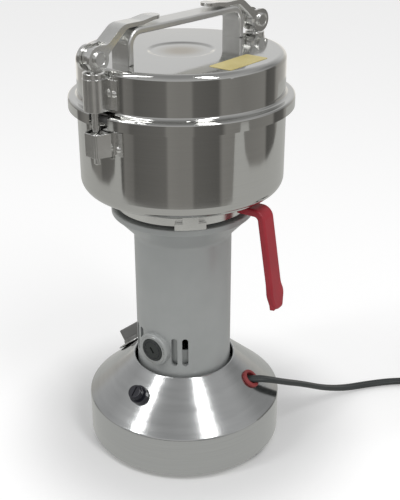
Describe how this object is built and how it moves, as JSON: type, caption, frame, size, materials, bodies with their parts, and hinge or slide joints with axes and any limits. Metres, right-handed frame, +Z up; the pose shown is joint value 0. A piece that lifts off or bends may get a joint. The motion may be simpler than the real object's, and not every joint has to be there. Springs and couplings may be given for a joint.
{
  "type": "high-speed grinding mill",
  "caption": "Upright mill: a lidded round steel bowl with spinning blades, held by a lock ring on a motor column that rises from a conical base.",
  "frame": {"origin": "on the mill's axis, at the level of the floor under its feet", "axes": "+Z up along the motor's axis; X runs through both latches and along the strap handle, with the latch nearer the brush cap and fuse at -X"},
  "size_m": [0.4609, 0.2886, 0.389],
  "materials": {
    "polished_steel": "polished",
    "satin_steel": "satin",
    "spun_steel": "satin",
    "housing_metal": "satin",
    "shaft_steel": "satin",
    "iron_core": "matte",
    "copper": "satin",
    "brass": "satin",
    "carbon": "matte",
    "moulded_fan": "satin",
    "cap_resin": "satin",
    "fuse_resin": "satin",
    "fuse_glass": "gloss",
    "knob_resin": "satin",
    "dial_steel": "polished",
    "red_dip": "satin",
    "grommet_red": "satin",
    "seal_rubber": "matte",
    "foot_rubber": "matte",
    "cord_sheath": "satin"
  },
  "bodies": {
    "stand": {"base_shell": "spun_steel", "base_plate": "satin_steel", "rubber_feet": "foot_rubber", "base_screws": "satin_steel", "motor_seat": "housing_metal", "motor_housing": "housing_metal", "brush_caps": "cap_resin", "brush_holders": "brass", "carbon_brushes": "carbon", "stator_core": "iron_core", "field_coils": "copper", "lower_bracket": "housing_metal", "lower_bearing": "shaft_steel", "upper_bearing": "shaft_steel", "ring_guides": "satin_steel", "bowl": "polished_steel", "bowl_hub": "housing_metal", "hub_bearings": "shaft_steel", "shaft_seal": "seal_rubber", "lid_gasket": "seal_rubber", "keepers": "satin_steel", "keeper_nuts": "satin_steel", "keeper_rivets": "satin_steel", "fuse_holder": "fuse_resin", "fuse": "fuse_glass", "timer_body": "fuse_resin", "dial_plate": "dial_steel", "cord_grommet": "grommet_red", "mains_cord": "cord_sheath", "cord_coil": "cord_sheath", "mains_plug": "cord_sheath"},
    "rotor": {"motor_shaft": "shaft_steel", "armature_core": "iron_core", "armature_windings": "copper", "commutator": "copper", "cooling_fan": "moulded_fan", "drive_coupling": "shaft_steel"},
    "blades": {"blade_shaft": "shaft_steel", "lower_blade": "shaft_steel", "middle_blade": "shaft_steel", "upper_blade": "shaft_steel", "blade_spacers": "shaft_steel", "blade_nut": "shaft_steel"},
    "lock": {"lock_ring": "satin_steel", "lever_grip": "red_dip"},
    "cover": {"lid": "polished_steel", "strap_handle": "satin_steel", "guide_brackets": "satin_steel", "bracket_rivets": "satin_steel"},
    "front_screw": {"front_bolt": "satin_steel", "front_washer": "satin_steel"},
    "rear_screw": {"rear_bolt": "satin_steel", "rear_washer": "satin_steel"},
    "front_cam": {"front_lever": "satin_steel", "front_pin": "satin_steel"},
    "rear_cam": {"rear_lever": "satin_steel", "rear_pin": "satin_steel"},
    "timer": {"timer_knob": "knob_resin"},
    "fuse_carrier": {"fuse_cap": "fuse_resin"}
  },
  "joints": [
    {"name": "lid_lift", "type": "slide", "parent": "stand", "child": "cover", "axis": [0, 0, 1], "range_m": [0, 0.12]},
    {"name": "front_bolt_turn", "type": "hinge", "parent": "cover", "child": "front_screw", "pos_m": [-0.093, 0, 0.33], "axis": [0, 0, 1], "continuous": true},
    {"name": "rear_bolt_turn", "type": "hinge", "parent": "cover", "child": "rear_screw", "pos_m": [0.093, 0, 0.33], "axis": [0, 0, 1], "continuous": true},
    {"name": "front_lever_flip", "type": "hinge", "parent": "front_screw", "child": "front_cam", "pos_m": [-0.093, 0, 0.367], "axis": [0, -1, 0], "range_deg": [0, 110]},
    {"name": "rear_lever_flip", "type": "hinge", "parent": "rear_screw", "child": "rear_cam", "pos_m": [0.093, 0, 0.367], "axis": [0, 1, 0], "range_deg": [0, 110]},
    {"name": "lock_ring_turn", "type": "hinge", "parent": "stand", "child": "lock", "pos_m": [0, 0, 0.232], "axis": [0, 0, 1], "range_deg": [0, 40]},
    {"name": "rotor_spin", "type": "hinge", "parent": "stand", "child": "rotor", "pos_m": [0, 0, 0.145], "axis": [0, 0, 1], "continuous": true},
    {"name": "blade_spin", "type": "hinge", "parent": "stand", "child": "blades", "pos_m": [0, 0, 0.26], "axis": [0, 0, 1], "continuous": true},
    {"name": "timer_knob_turn", "type": "hinge", "parent": "stand", "child": "timer", "pos_m": [0.00397, 0.06488, 0.06187], "axis": [0.0404, 0.6607, 0.7495], "range_deg": [0, 300]},
    {"name": "fuse_cap_turn", "type": "hinge", "parent": "stand", "child": "fuse_carrier", "pos_m": [-0.06331, -0.0061, 0.06311], "axis": [-0.6589, -0.0634, 0.7495], "range_deg": [-60, 0]}
  ],
  "couplings": [
    {"joint": "blade_spin", "follows": "rotor_spin", "ratio": 1}
  ]
}
